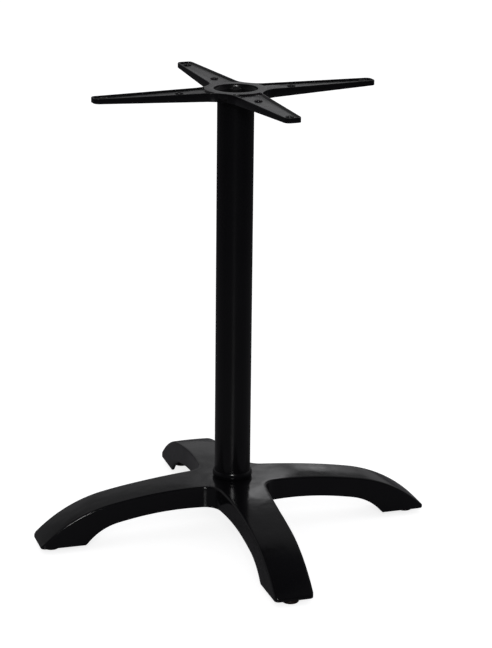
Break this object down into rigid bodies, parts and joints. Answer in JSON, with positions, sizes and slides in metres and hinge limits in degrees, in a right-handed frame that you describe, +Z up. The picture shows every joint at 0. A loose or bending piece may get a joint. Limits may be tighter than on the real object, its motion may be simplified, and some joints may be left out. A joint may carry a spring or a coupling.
{
  "type": "pedestal table base",
  "caption": "Pedestal table base: cast star foot with arched hollow legs, round column tube, tapered channel-arm top spider with screw bosses, adjustable glides under the feet.",
  "frame": {"origin": "centre of the four glide pads on the floor plane", "axes": "+Z up along the column's axis, X and Y along the four legs of the foot"},
  "size_m": [0.64, 0.64, 0.72],
  "materials": {
    "coated_casting": "satin black powder coat",
    "coated_tube": "smooth satin black powder coat",
    "collar": "smooth black plastic",
    "plain_steel": "zinc plated, dulled",
    "pad": "dark brown moulded pad"
  },
  "bodies": {
    "base": {"base_casting": "coated_casting", "column_tube": "coated_tube", "column_collar": "collar", "top_spider": "coated_casting", "tie_rod": "plain_steel", "top_washer": "plain_steel", "top_nut": "plain_steel", "bottom_washer": "plain_steel", "bottom_spring_washer": "plain_steel", "bottom_nut": "plain_steel"},
    "glide_1": {"glide_pad_1": "pad", "glide_stud_1": "plain_steel"},
    "glide_2": {"glide_pad_2": "pad", "glide_stud_2": "plain_steel"},
    "glide_3": {"glide_pad_3": "pad", "glide_stud_3": "plain_steel"},
    "glide_4": {"glide_pad_4": "pad", "glide_stud_4": "plain_steel"}
  },
  "joints": [
    {"name": "glide_1_height", "type": "slide", "parent": "base", "child": "glide_1", "axis": [0, 0, -1], "range_m": [0, 0.008]},
    {"name": "glide_2_height", "type": "slide", "parent": "base", "child": "glide_2", "axis": [0, 0, -1], "range_m": [0, 0.008]},
    {"name": "glide_3_height", "type": "slide", "parent": "base", "child": "glide_3", "axis": [0, 0, -1], "range_m": [0, 0.008]},
    {"name": "glide_4_height", "type": "slide", "parent": "base", "child": "glide_4", "axis": [0, 0, -1], "range_m": [0, 0.008]}
  ]
}
